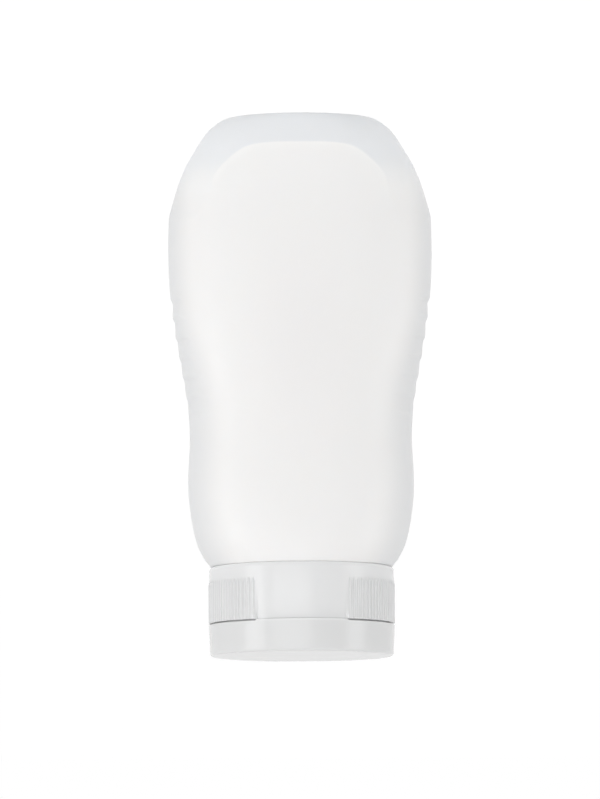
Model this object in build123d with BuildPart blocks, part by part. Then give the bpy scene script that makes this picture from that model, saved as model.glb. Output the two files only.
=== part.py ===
from build123d import *
import os
from math import acos, copysign, cos, degrees, pi, radians, sin

# A squeezable sauce bottle with a flip cap, standing on its closed end with the cap on top.
# +Z is up the bottle, z = 0 is the flat closed end, the thumb side of the cap faces -Y and the
# lid's hinge is at +Y. Millimetres.

# ---- bottle: heights above the closed end ----
corner_height = 3.0            # the round corner above the flat end has opened out by here
crease_height = 10.0           # front crease between the tapered end and the broad panel
flare_height = 18.0
brow_height = 28.5             # the tapered end has nearly reached the full width
end_form_height = 37.0         # the tapered end lies outside the body from about here up
foot_height = -4.0             # the body's curves start here, hidden behind the tapered end
belly_low_height = 20.0
belly_height = 43.0            # widest place
flank_height = 64.0
grip_height = 84.0
waist_height = 100.0           # narrowest place
hip_height = 116.0
hip_top_height = 128.0
shoulder_start_height = 135.5
shoulder_height = 142.0        # level shelf under the cap

# ---- bottle: half width along X, half depth along Y ----
base_half_width, base_half_depth = 23.7, 20.4
corner_half_width, corner_half_depth = 28.0, 22.2
crease_half_width, crease_half_depth = 32.9, 25.9
flare_half_width, flare_half_depth = 37.3, 28.4
brow_half_width, brow_half_depth = 40.7, 29.6
end_half_width, end_half_depth = 43.0, 30.6
foot_half_width, foot_half_depth = 40.7, 25.2
belly_low_half_width, belly_low_half_depth = 41.0, 26.5
belly_half_width, belly_half_depth = 41.6, 27.4
flank_half_width, flank_half_depth = 40.2, 27.3
grip_half_width, grip_half_depth = 36.8, 26.8
waist_half_width, waist_half_depth = 35.0, 26.5
hip_half_width, hip_half_depth = 35.6, 27.3
hip_top_half_width, hip_top_half_depth = 34.4, 28.5
shoulder_start_half_width = 32.5
shoulder_start_proud = 0.1      # outside the cap's skirt, along Y
shoulder_side_inset = 0.2       # the shelf's edge inside the cap's skirt, along X
shoulder_front_inset = 0.5      # and along Y

# ---- bottle: squareness of the level sections, 2 is an ellipse and more is fuller ----
base_squareness = 2.0
corner_squareness = 2.3
crease_squareness = 2.7
flare_squareness = 2.3
brow_squareness = 2.05
body_squareness = 2.35
shoulder_squareness = 2.0
rounding_height = 20.0         # the body's sections turn round over this height below the shelf
section_points = 12
section_count = 25

wall = 1.1
edge_bevel = 0.7               # round the flat end and the shelf

# ---- finger grips on the two narrow sides: a row of steps that face the closed end ----
grip_count = 6
grip_pitch = 6.18
grip_first_height = 56.9       # crest of the lowest step
grip_rise = 1.6                # from each crest up to its root
grip_first_depth = 0.65
grip_last_depth = 0.35
grip_axis_x = 8.0              # upright axis that the steps are swept round
grip_sweep = 100.0
grip_clear = 4.0               # the cutter reaches this far outside the bottle

# ---- neck ----
neck_radius = 17.5
neck_wall = 1.6
neck_height = 15.2
neck_bore_depth = 17.0         # the bore runs through the shelf into the hollow body

# ---- cap body ----
cap_gap = 0.4                  # skirt above the bottle's shelf
liner_thickness = 1.0
liner_radius = 18.3
liner_hole_radius = 11.6
deck_thickness = 1.6
skirt_radius = 29.1
skirt_wall = 1.6
skirt_edge_bevel = 1.5
rib_count = 120
rib_width = 0.9                # at the root, buried in the skirt
rib_proud = 0.36               # rib crest above the skirt
rib_root = 0.15                # how far each rib is sunk in the skirt
rib_side_angle = 62.0
rib_start = 3.2                # plain band under the ribs
panel_half_angle = 29.5        # smooth thumb panel at the front
scoop_depth = 0.9              # thumb scoop, deepest at the parting line
scoop_height = 12.0
scoop_clear = 0.5              # the cutter reaches this far outside the skirt
socket_clearance = 1.4         # room for the screw thread between neck and inner skirt
socket_wall = 1.3
socket_lift = 4.2              # inner skirt stops this far above the outer skirt's edge
upstand_wall = 1.2
upstand_height = 2.5

# ---- spout, valve and retainer ----
spout_radius = 9.0
spout_bore_radius = 7.6
spout_height = 5.7
lip_thickness = 1.0
mouth_radius = 5.5
press_clearance = 0.03
retainer_bore_radius = 6.5
retainer_flange_radius = 10.5
retainer_flange_thickness = 1.1
valve_flange_radius = 7.4
valve_flange_thickness = 1.2
valve_sleeve_radius = 6.2
valve_head_radius = 5.1
valve_skin = 0.5
valve_drop = 3.1               # flange top to the bottom of the rolling sleeve
valve_head_depth = 0.9         # head rim below the flange top
valve_dish = 0.7               # how far the head's middle sags below its rim
valve_head_thickness = 0.8
slit_length = 6.6
slit_width = 0.12

# ---- flip lid ----
parting_gap = 1.2
lid_height = 9.0
lid_proud = 0.2                # the open edge stands this far outside the skirt
lid_draft = 2.6                # degrees of taper towards the flat face
lid_corner_bevel = 0.5
lid_wall = 1.5
lid_plate = 1.6
lid_fit = 0.3                  # running room between the closed lid and what it covers
seal_ring_wall = 1.1
seal_ring_clear = 1.3          # seal ring stops this far above the deck
tab_gap = 0.3                  # thumb tab above the skirt's edge

# ---- film hinge at the back ----
hinge_flat_depth = 1.5         # the skirt's round wall is cut flat this deep
hinge_axis_proud = 0.3         # bending line stands this far outside the flat
hinge_pocket_height = 6.2
film_width = 6.0
film_spacing = 13.0
film_thickness = 0.6
film_bead_radius = 0.28
film_slack = 0.06
film_root = 0.5                # how far each film runs into the wall that carries it

# ---- places worked out from the sizes above ----
shoulder_start_half_depth = skirt_radius + shoulder_start_proud
shoulder_half_width = skirt_radius - shoulder_side_inset
shoulder_half_depth = skirt_radius - shoulder_front_inset
lid_edge_radius_out = skirt_radius + lid_proud
hinge_flat_y = skirt_radius - hinge_flat_depth
neck_top = shoulder_height + neck_height
deck_underside = neck_top + liner_thickness
deck_top = deck_underside + deck_thickness
cap_base = shoulder_height + cap_gap
spout_top = deck_top + spout_height
valve_top = spout_top - lip_thickness
lid_edge = deck_top + parting_gap
lid_face = lid_edge + lid_height
lid_ceiling = lid_face - lid_plate
hinge_axis_y = hinge_flat_y + hinge_axis_proud
hinge_axis_z = deck_top + parting_gap / 2
socket_radius = neck_radius + socket_clearance
socket_outer_radius = socket_radius + socket_wall
skirt_inner_radius = skirt_radius - skirt_wall
upstand_radius = lid_edge_radius_out - lid_wall - lid_fit
seal_ring_radius = spout_radius + lid_fit
blank_size = 4 * skirt_radius  # larger than the cap, for cutting blocks


def oval(height, half_width, half_depth, squareness, inset=0.0):
    """Level superellipse, drawn inside the given half sizes by the inset."""
    outline = []
    for i in range(section_points):
        angle = 2 * pi * i / section_points
        across = copysign(abs(cos(angle)) ** (2 / squareness), cos(angle))
        along = copysign(abs(sin(angle)) ** (2 / squareness), sin(angle))
        outline.append((across * (half_width - inset), along * (half_depth - inset)))
    with BuildSketch(Plane.XY.offset(height)) as section:
        with BuildLine():
            Spline(outline, periodic=True)
        make_face()
    return section.sketch


def end_form(inset):
    """The tapered closed end, with a block above it that leaves the rest of the body alone."""
    stations = [
        (0.0, base_half_width, base_half_depth, base_squareness),
        (corner_height, corner_half_width, corner_half_depth, corner_squareness),
        (crease_height, crease_half_width, crease_half_depth, crease_squareness),
        (flare_height, flare_half_width, flare_half_depth, flare_squareness),
        (brow_height, brow_half_width, brow_half_depth, brow_squareness),
        (end_form_height, end_half_width, end_half_depth, brow_squareness),
    ]
    with BuildPart() as form:
        loft(
            sections=[
                oval(height + inset, half_width, half_depth, squareness, inset)
                for height, half_width, half_depth, squareness in stations
            ],
            ruled=True,
        )
        with BuildSketch(Plane.XY.offset(end_form_height + inset)):
            Rectangle(blank_size, blank_size)
        extrude(amount=shoulder_height)
    return form.part


def bottle_form(inset=0.0):
    """The bottle without its neck: the outside, or the inside when inset by the wall."""
    guide = Edge.make_spline([
        Vector(foot_half_width, foot_half_depth, foot_height),
        Vector(belly_low_half_width, belly_low_half_depth, belly_low_height),
        Vector(belly_half_width, belly_half_depth, belly_height),
        Vector(flank_half_width, flank_half_depth, flank_height),
        Vector(grip_half_width, grip_half_depth, grip_height),
        Vector(waist_half_width, waist_half_depth, waist_height),
        Vector(hip_half_width, hip_half_depth, hip_height),
        Vector(hip_top_half_width, hip_top_half_depth, hip_top_height),
        Vector(shoulder_start_half_width, shoulder_start_half_depth, shoulder_start_height),
        Vector(shoulder_half_width, shoulder_half_depth, shoulder_height),
    ])
    sections = []
    for i in range(section_count):
        half_width, half_depth, height = guide.position_at(i / (section_count - 1))
        roundness = max(0, 1 - (shoulder_height - height) / rounding_height)
        squareness = body_squareness + (shoulder_squareness - body_squareness) * roundness
        level = min(height, shoulder_height - inset)
        sections.append(oval(level, half_width, half_depth, squareness, inset))
    with BuildPart() as form:
        loft(sections=sections, ruled=True)
        add(end_form(inset), mode=Mode.INTERSECT)
    return form.part


def upright_plane(origin_x, angle):
    """Upright plane through a point on the X axis, its local x turned about +Z by the angle."""
    return Plane(
        origin=(origin_x, 0, 0),
        x_dir=Vector(1, 0, 0).rotate(Axis.Z, angle),
        z_dir=Vector(0, -1, 0).rotate(Axis.Z, angle),
    )


def half_width_at(form, height):
    """Where the bottle's side stands at this height."""
    hits = form.find_intersection_points(Axis((0, 0, height), (1, 0, 0)))
    return max(point.X for point, _ in hits)


# ---- bottle_shell: blow-moulded bottle with stepped finger grips and a plain neck ----
outer_form = bottle_form()

grip_steps = []
for i in range(grip_count):
    crest_z = grip_first_height + i * grip_pitch
    root_z = crest_z + grip_rise
    root_depth = grip_first_depth + (grip_last_depth - grip_first_depth) * i / (grip_count - 1)
    grip_steps.append((half_width_at(outer_form, crest_z) - grip_axis_x, crest_z))
    grip_steps.append((half_width_at(outer_form, root_z) - grip_axis_x - root_depth, root_z))
grip_end_z = grip_first_height + grip_count * grip_pitch
grip_steps.append((half_width_at(outer_form, grip_end_z) - grip_axis_x, grip_end_z))
grip_reach = grip_steps[0][0] + grip_clear

with BuildPart() as grip_cutter:
    with BuildSketch(upright_plane(grip_axis_x, -grip_sweep / 2)):
        with BuildLine():
            Polyline(
                (grip_reach, grip_first_height), *grip_steps, (grip_reach, grip_end_z),
                close=True,
            )
        make_face()
    revolve(axis=Axis((grip_axis_x, 0, 0), (0, 0, 1)), revolution_arc=grip_sweep)
    mirror(about=Plane.YZ)

with BuildPart() as bottle_shell:
    add(outer_form)
    chamfer(bottle_shell.faces().sort_by(Axis.Z)[0].edges(), edge_bevel)
    chamfer(bottle_shell.faces().sort_by(Axis.Z)[-1].edges(), edge_bevel)
    add(grip_cutter.part, mode=Mode.SUBTRACT)
    with BuildSketch(Plane.XY.offset(shoulder_height)):
        Circle(neck_radius)
    extrude(amount=neck_height)
    add(bottle_form(wall), mode=Mode.SUBTRACT)
    with BuildSketch(Plane.XY.offset(neck_top)):
        Circle(neck_radius - neck_wall)
    extrude(amount=-neck_bore_depth, mode=Mode.SUBTRACT)
bottle_shell.part.label = "bottle_shell"


# ---- cap_body: ribbed skirt, deck, threaded-skirt socket, spout and hinge half ----
def hinge_film(low, high):
    """The two film straps of the hinge, upright between two heights."""
    with BuildPart() as film:
        with BuildSketch(Plane.XY.offset(low)):
            with Locations((0, hinge_axis_y - film_thickness / 2)):
                with GridLocations(film_spacing, 1, 2, 1):
                    Rectangle(film_width, film_thickness)
        extrude(amount=high - low)
    return film.part


def smooth_zone(angle):
    """True where the skirt is plain: the thumb panel at the front and the hinge pocket."""
    front = abs((angle + 90 + 180) % 360 - 180) < panel_half_angle
    pocket_half_angle = degrees(acos(hinge_flat_y / skirt_radius))
    back = abs((angle - 90 + 180) % 360 - 180) < pocket_half_angle
    return front or back


rib_circle = skirt_radius + (rib_proud - rib_root) / 2
rib_angles = [(i + 0.5) * 360 / rib_count for i in range(rib_count)]

with BuildPart() as cap_body:
    with BuildSketch(Plane.XY.offset(cap_base)):
        Circle(skirt_radius)
    extrude(amount=deck_top - cap_base)
    chamfer(cap_body.edges().group_by(Axis.Z)[0], skirt_edge_bevel)
    with BuildSketch(Plane.XY.offset(cap_base + rib_start)):
        for angle in rib_angles:
            if not smooth_zone(angle):
                with Locations(Vector(rib_circle, 0).rotate(Axis.Z, angle)):
                    Trapezoid(rib_width, rib_proud + rib_root, rib_side_angle, rotation=angle - 90)
    extrude(amount=deck_top - cap_base - rib_start)
    # hollow under the deck, leaving the inner skirt that screws onto the neck
    with BuildSketch(Plane.XY.offset(cap_base)):
        Circle(skirt_inner_radius)
        Circle(socket_outer_radius, mode=Mode.SUBTRACT)
    extrude(amount=deck_underside - cap_base, mode=Mode.SUBTRACT)
    with BuildSketch(Plane.XY.offset(cap_base)):
        Circle(socket_outer_radius)
    extrude(amount=socket_lift, mode=Mode.SUBTRACT)
    with BuildSketch(Plane.XY.offset(cap_base)):
        Circle(socket_radius)
    extrude(amount=deck_underside - cap_base, mode=Mode.SUBTRACT)
    # spout with its in-turned lip, and the upstand that the lid closes round
    with BuildSketch(Plane.XY.offset(deck_top)):
        Circle(spout_radius)
    extrude(amount=spout_height)
    with BuildSketch(Plane.XY.offset(deck_underside)):
        Circle(spout_bore_radius)
    extrude(amount=valve_top - deck_underside, mode=Mode.SUBTRACT)
    with BuildSketch(Plane.XY.offset(valve_top)):
        Circle(mouth_radius)
    extrude(amount=lip_thickness, mode=Mode.SUBTRACT)
    with BuildSketch(Plane.XY.offset(deck_top)):
        Circle(upstand_radius)
        Circle(upstand_radius - upstand_wall, mode=Mode.SUBTRACT)
        upstand_back = hinge_flat_y - lid_wall - lid_fit
        with Locations((0, upstand_back)):
            Rectangle(blank_size, blank_size, align=(Align.CENTER, Align.MIN), mode=Mode.SUBTRACT)
    extrude(amount=upstand_height)
    # thumb scoop: a crescent swept round the front of the skirt
    with BuildSketch(upright_plane(0, -90 - panel_half_angle)):
        with BuildLine():
            scoop_low = (skirt_radius, deck_top - scoop_height)
            scoop_high = (skirt_radius - scoop_depth, deck_top)
            scoop_rim = (skirt_radius + scoop_clear, deck_top)
            TangentArc(scoop_low, scoop_high, tangent=(0, 1))
            Polyline(scoop_high, scoop_rim, (skirt_radius + scoop_clear, scoop_low[1]), scoop_low)
        make_face()
    revolve(axis=Axis.Z, revolution_arc=2 * panel_half_angle, mode=Mode.SUBTRACT)
    # flat pocket at the back, behind the hinge
    with BuildSketch(Plane.XY.offset(deck_top - hinge_pocket_height)):
        with Locations((0, hinge_flat_y)):
            Rectangle(blank_size, blank_size, align=(Align.CENTER, Align.MIN))
    extrude(amount=hinge_pocket_height, mode=Mode.SUBTRACT)
    add(hinge_film(deck_top - film_root, hinge_axis_z - film_bead_radius - film_slack))
cap_body.part.label = "cap_body"

# ---- slit_valve: rolled silicone valve held under the spout's lip ----
head_rim_z = valve_top - valve_head_depth
sleeve_low = valve_top - valve_drop
sleeve_inner = valve_sleeve_radius - valve_skin
head_wall_inner = valve_head_radius - valve_skin
head_dish_z = head_rim_z - valve_dish
head_low_z = head_dish_z - valve_head_thickness

with BuildPart() as slit_valve:
    with BuildSketch(Plane.XZ):
        with BuildLine():
            Polyline(
                (0, head_low_z),
                (0, head_dish_z),
                (valve_head_radius, head_rim_z),
                (valve_head_radius, sleeve_low + valve_skin),
                (sleeve_inner, sleeve_low + valve_skin),
                (sleeve_inner, valve_top),
                (valve_flange_radius, valve_top),
                (valve_flange_radius, valve_top - valve_flange_thickness),
                (valve_sleeve_radius, valve_top - valve_flange_thickness),
                (valve_sleeve_radius, sleeve_low),
                (head_wall_inner, sleeve_low),
                (head_wall_inner, head_rim_z - valve_head_thickness),
                (0, head_low_z),
            )
        make_face()
    revolve(axis=Axis.Z)
    with BuildSketch(Plane.XY.offset(sleeve_low)):
        Rectangle(slit_length, slit_width)
        Rectangle(slit_width, slit_length)
    extrude(amount=valve_drop, mode=Mode.SUBTRACT)
slit_valve.part.label = "slit_valve"

# ---- valve_retainer: flanged ring pressed into the spout from below ----
retainer_top = valve_top - valve_flange_thickness

with BuildPart() as valve_retainer:
    with BuildSketch(Plane.XY.offset(deck_underside - retainer_flange_thickness)):
        Circle(retainer_flange_radius)
        Circle(retainer_bore_radius, mode=Mode.SUBTRACT)
    extrude(amount=retainer_flange_thickness)
    with BuildSketch(Plane.XY.offset(deck_underside)):
        Circle(spout_bore_radius - press_clearance)
        Circle(retainer_bore_radius, mode=Mode.SUBTRACT)
    extrude(amount=retainer_top - deck_underside)
valve_retainer.part.label = "valve_retainer"

# ---- neck_liner: foam sealing washer between the neck and the deck ----
with BuildPart() as neck_liner:
    with BuildSketch(Plane.XY.offset(neck_top)):
        Circle(liner_radius)
        Circle(liner_hole_radius, mode=Mode.SUBTRACT)
    extrude(amount=liner_thickness)
neck_liner.part.label = "neck_liner"

# ---- flip_lid: shallow tapered cup with a seal ring, thumb tab and hinge half ----
lid_inner_radius = lid_edge_radius_out - lid_wall
tab_width = 2 * lid_edge_radius_out * sin(radians(panel_half_angle))

with BuildPart() as flip_lid:
    with BuildSketch(Plane.XY.offset(lid_edge)):
        Circle(lid_edge_radius_out)
    extrude(amount=lid_height - lid_corner_bevel, taper=lid_draft)
    extrude(flip_lid.faces().sort_by(Axis.Z)[-1], amount=lid_corner_bevel, taper=45)
    # thumb tab: the front of the wall reaches down over the scoop
    with BuildSketch(Plane.XY.offset(deck_top + tab_gap)):
        Circle(lid_edge_radius_out)
        Circle(lid_inner_radius, mode=Mode.SUBTRACT)
        with Locations((0, -blank_size / 2)):
            Rectangle(tab_width, blank_size, mode=Mode.INTERSECT)
    extrude(amount=parting_gap - tab_gap)
    # flat back and the hollow, whose own back is flat too
    with BuildSketch(Plane.XY.offset(lid_edge)):
        with Locations((0, hinge_flat_y)):
            Rectangle(blank_size, blank_size, align=(Align.CENTER, Align.MIN))
    extrude(amount=lid_height, mode=Mode.SUBTRACT)
    with BuildSketch(Plane.XY.offset(lid_edge)):
        Circle(lid_inner_radius)
        with Locations((0, hinge_flat_y - lid_wall)):
            Rectangle(blank_size, blank_size, align=(Align.CENTER, Align.MIN), mode=Mode.SUBTRACT)
    extrude(amount=lid_height - lid_plate, taper=lid_draft, mode=Mode.SUBTRACT)
    # ring that closes round the spout
    with BuildSketch(Plane.XY.offset(deck_top + seal_ring_clear)):
        Circle(seal_ring_radius + seal_ring_wall)
        Circle(seal_ring_radius, mode=Mode.SUBTRACT)
    extrude(amount=lid_ceiling - deck_top - seal_ring_clear)
    add(hinge_film(hinge_axis_z, lid_edge + film_root))
    with BuildSketch(Plane.YZ) as bead:
        with Locations((hinge_axis_y, hinge_axis_z)):
            Circle(film_bead_radius)
    for offset in (-film_spacing / 2, film_spacing / 2):
        with Locations((offset, 0, 0)):
            add(extrude(bead.sketch, amount=film_width / 2, both=True, mode=Mode.PRIVATE))
flip_lid.part.label = "flip_lid"

# ---- write every piece ----
os.makedirs("parts", exist_ok=True)
for piece in (bottle_shell, cap_body, slit_valve, valve_retainer, neck_liner, flip_lid):
    export_step(piece.part, f"parts/{piece.part.label}.step")
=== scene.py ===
from math import cos, pi, radians, sin, sqrt, tan

import bmesh
import bpy
import numpy as np
from mathutils import Matrix, Vector


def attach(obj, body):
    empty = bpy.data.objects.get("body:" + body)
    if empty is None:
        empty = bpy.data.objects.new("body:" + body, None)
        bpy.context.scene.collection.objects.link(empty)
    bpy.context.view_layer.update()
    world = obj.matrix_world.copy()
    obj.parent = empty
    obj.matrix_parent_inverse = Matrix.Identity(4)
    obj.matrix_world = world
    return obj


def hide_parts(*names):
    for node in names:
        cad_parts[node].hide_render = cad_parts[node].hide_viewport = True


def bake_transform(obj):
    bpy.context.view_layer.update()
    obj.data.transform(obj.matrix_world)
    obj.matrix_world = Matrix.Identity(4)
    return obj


# A squeeze bottle for sauce with a flip cap. The bottle stands on its closed end. The picture is
# taken with the camera turned over, because the bottle is shown standing on its cap. Sizes are
# millimetres until a mesh is written.

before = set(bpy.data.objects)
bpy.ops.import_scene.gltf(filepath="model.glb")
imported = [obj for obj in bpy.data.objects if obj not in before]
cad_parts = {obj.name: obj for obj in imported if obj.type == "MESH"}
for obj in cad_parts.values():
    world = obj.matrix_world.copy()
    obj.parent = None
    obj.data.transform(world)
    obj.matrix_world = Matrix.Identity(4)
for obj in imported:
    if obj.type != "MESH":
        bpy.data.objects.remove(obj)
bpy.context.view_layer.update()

MM = 0.001
WELD = 1e-6                             # metres: points nearer than this are one point
FAR = 1e3                               # a radius that limits nothing

# ---- bottle: half width, half depth, height ----
BODY_STATIONS = [
    (40.7, 25.2, -4.0), (41.0, 26.5, 20.0), (41.6, 27.4, 43.0), (40.2, 27.3, 64.0),
    (36.8, 26.8, 84.0), (35.0, 26.5, 100.0), (35.6, 27.3, 116.0), (34.4, 28.5, 128.0),
    (32.5, 29.2, 135.5), (28.9, 28.6, 142.0),
]
# ---- tapered closed end: half width, half depth, squareness, height ----
END_STATIONS = [
    (23.7, 20.4, 2.0, 0.0), (28.0, 22.2, 2.3, 3.0), (32.9, 25.95, 2.58, 9.9),
    (34.25, 26.95, 2.42, 12.0), (37.3, 28.4, 2.26, 18.0), (40.7, 29.6, 2.05, 28.5),
    (43.0, 30.6, 2.05, 37.0),
]
BODY_SQUARENESS, ELLIPSE = 2.35, 2.0
SHOULDER_Z, SHOULDER_ROUNDING, SHOULDER_EDGE = 142.0, 20.0, 0.35
WALL, FLOOR_SHARE = 1.1, 0.98
EDGE_ROUND, EDGE_LAP = 1.3, 0.3
CREASE_SOFTNESS, CREASE_SEARCH = 0.16, (2.0, 45.0, 0.05)
# the joint between bottle and cap: the shelf stands a little proud, and is tucked in where the
# bottle is narrow
SHELF_PROUD, SIDE_TUCK = 0.1, 0.6

# ---- where the bottle's rings lie: distances from the crease, then runs of start, end, step ----
BOTTLE_COLUMNS = 320
CREASE_RINGS, CREASE_END_Z = (0.2, 0.45, 0.8, 1.4), 46.0
RINGS_TO_CREASE, RINGS_PAST_CREASE = 14, 16
PLAIN_RUN, GRIP_RUN = (48.0, 56.2, 2.0), (56.4, 94.8, 0.45)
WAIST_RUN, SHOULDER_RUN = (96.0, 134.0, 2.0), (134.0, 140.2, 0.8)
INSIDE_RUNS = ((135.0, 40.0, -5.0), (38.0, 2.5, -2.0))

# ---- finger grips ----
GRIP_COUNT, GRIP_PITCH, GRIP_FIRST_Z, GRIP_RISE = 6, 6.18, 56.9, 1.6
GRIP_FIRST_DEPTH, GRIP_LAST_DEPTH = 0.65, 0.3
GRIP_AXIS_X, GRIP_SWEEP = 8.0, radians(50)
GRIP_RUN_OUT, GRIP_CLEAR = 1.2, 0.4
GRIP_STEP, GRIP_BLEND_STEPS, GRIP_SOFTNESS = 0.05, 8, 0.12

# ---- neck ----
NECK_R, NECK_BORE_R, NECK_TOP, NECK_PLAIN = 17.5, 15.9, 157.2, 2.0
NECK_FILLET, NECK_LIP, NECK_INNER_FILLET, SHOULDER_INNER_FILLET = 0.6, 0.4, 0.8, 1.2

# ---- screw thread, right-handed; crest and root are widths along the axis ----
THREAD_PITCH, THREAD_FADE, THREAD_STEP = 4.233, 0.07, 0.3
NECK_THREAD = {"start": 145.4, "turns": 1.5, "crest": 0.7, "root": 2.3}
NECK_THREAD_RISE, NECK_THREAD_END = 1.1, 154.4
CAP_THREAD = {"start": 147.6, "turns": 1.2, "crest": 0.6, "root": 1.7}
CAP_THREAD_RISE, CAP_THREAD_TOP = 1.0, 155.1

# ---- cap ----
CAP_COLUMNS = 384
CAP_BASE, DECK_UNDER, DECK_TOP = 142.01, 158.2, 159.8
SKIRT_R, SKIRT_IN_R, SKIRT_ROUND = 29.1, 27.5, 1.2
SKIRT_TUCK, SKIRT_SIDE_TUCK = 0.35, 0.95
SOCKET_R, SOCKET_OUT_R, SOCKET_BASE, SOCKET_LEAD = 18.9, 20.2, 146.6, 0.5
PANEL_HALF, PANEL_EDGE = radians(29.5), radians(0.8)
SCOOP_Z, SCOOP_DEPTH = 147.8, 0.9
POCKET_Z, POCKET_EDGE, POCKET_HALF, HINGE_FLAT_Y = 153.6, 0.1, radians(18.5), 27.6
SKIRT_LEVELS = (
    147.0, SCOOP_Z, 149.3, 150.8, 152.3, POCKET_Z - POCKET_EDGE, POCKET_Z + POCKET_EDGE,
    155.4, 157.2, 158.6,
)
UPSTAND_R, UPSTAND_IN_R, UPSTAND_TOP, UPSTAND_FLAT_Y = 27.5, 26.3, 162.3, 25.8
UPSTAND_LEAST = 0.15
SPOUT_R, SPOUT_BORE_R, SPOUT_TOP = 9.0, 7.6, 165.5
MOUTH_R, VALVE_TOP = 5.5, 164.5
RIB_COUNT, RIB_R, RIB_PROUD, RIB_Z, RIB_END_GAP = 120, 0.6, 0.24, 145.6, 0.05
RIB_SIDES, RIB_ROWS, RIB_RUN_OUT, RIB_FOOT = 10, 14, 0.16, 0.35

# ---- lid and hinge ----
LID_EDGE, LID_CEILING, LID_FACE, LID_CENTRE_R = 160.3, 168.4, 170.0, 4.0
LID_R, LID_WALL, LID_DRAFT, LID_ROUND = 29.3, 1.5, radians(2.6), 0.9
TAB_DROP = 0.46
SEAL_R, SEAL_OUT_R, SEAL_Z = 9.3, 10.4, 161.1
HINGE_Y, HINGE_Z = 27.9, 160.4
STRAP_WIDTH, STRAP_SPACING, STRAP_BEND_TOP = 6.0, 13.0, 160.5
STRAP_LOW, STRAP_HIGH, STRAP_ROWS = 158.9, 161.9, 25
STRAP_OUT_Y, STRAP_IN_Y = 27.62, 27.3
SWELL_REACH, SWELL_SHORT = 1.5, 0.02
FILM_REACH, FILM_NOTCH = 0.5, 0.26
STRAP_FLAT, STRAP_EDGE = 0.92, 0.08

# ---- retainer and liner: radius, height, rounding of each corner ----
RETAINER_CORNERS = [
    (10.5, 157.1, 0.2), (10.5, DECK_UNDER, 0.1), (7.57, DECK_UNDER, 0.1), (7.57, 163.3, 0.15),
    (6.5, 163.3, 0.15), (6.5, 157.1, 0.2),
]
LINER_CORNERS = [
    (11.6, NECK_TOP, 0.1), (18.3, NECK_TOP, 0.12), (18.3, DECK_UNDER, 0.12),
    (11.6, DECK_UNDER, 0.1),
]

# ---- the bottle wall's zones of painted shade and painted highlight ----
# painted shade on the tapered closed end, which faces down
TAPER_SHADE_BLEND, TAPER_SHADE_FADE_Z, TAPER_SHADE_FADE = 0.25, 13.0, 13.0
# painted highlight just past the crease
CREASE_HIGHLIGHT_REACH, CREASE_HIGHLIGHT_FADE_Z, CREASE_HIGHLIGHT_FADE = 0.9, 20.0, 12.0
# painted shade towards the narrow sides, where the wall turns away
EDGE_SHADE_FROM, EDGE_SHADE_WIDER, EDGE_SHADE_WIDER_Z, EDGE_SHADE_WIDER_RISE = 0.8, 0.18, 60.0, 30.0
# painted shade on the middle of the broad faces, between the side highlights
MIDDLE_SHADE_REACH, MIDDLE_SHADE_Z, MIDDLE_SHADE_RISE = 20.0, 75.0, 42.0

# ---- whites, each from its lower to its higher shade ----
WALL_WHITES = (0.945, 0.93, 0.918), (0.955, 0.943, 0.93)
# painted light and shade over the wall's white: a darker middle, a painted highlight past the
# crease, painted shade on the narrow sides and on the tapered end
WALL_LIGHT_AND_SHADE_TINTS = (
    ("middle", (0.895, 0.883, 0.877)), ("crease_highlight", (0.995, 0.99, 0.975)),
    ("edge_shade", (0.82, 0.825, 0.83)), ("taper_shade", (0.88, 0.895, 0.913)),
)
# the lid's white is the skirt's plastic painted greyer, as painted shade
SKIRT_WHITES, LID_SHADED_WHITE = ((0.815, 0.818, 0.823), (0.823, 0.825, 0.825)), (0.765, 0.768, 0.768)
SILICONE_WHITES = (0.84, 0.85, 0.85), (0.9, 0.9, 0.89)
FOAM_WHITES = (0.86, 0.86, 0.85), (0.95, 0.95, 0.94)

# ---- studio, in metres and degrees ----
FLOOR_HALF_MM = 4000
PAPER_SHADE, PAPER_GLOW = 0.6, 0.3
SEEN_SHADE, SEEN_GLOW = 0.26, 0.86
ROOM_FRONT, ROOM_BACK = 0.6, 0.5
BOXES_AIM = (0, 0, 0.085)
# name, azimuth, elevation, distance, width, height, level
SOFT_BOXES = (
    ("left box", 60, 5, 0.9, 0.42, 0.6, 0.24),
    ("right box", -70, 5, 0.9, 0.4, 0.6, 0.175),
    ("front box", 12, 4, 1.5, 1.3, 0.5, 0.15),
    ("top box", 0, 80, 1.5, 1.2, 1.2, 0.16),
)
CAMERA_SPOT, CAMERA_AIM, CAMERA_LEAN = (0.00022, -3.0, 0.3535), (0.00022, 0.0, 0.0889), 0.00504
CAMERA_LENS, CAMERA_SENSOR, CAMERA_NEAR, CAMERA_FAR = 430.15, 36.0, 0.1, 50.0


# ======== curves and rings ========

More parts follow.
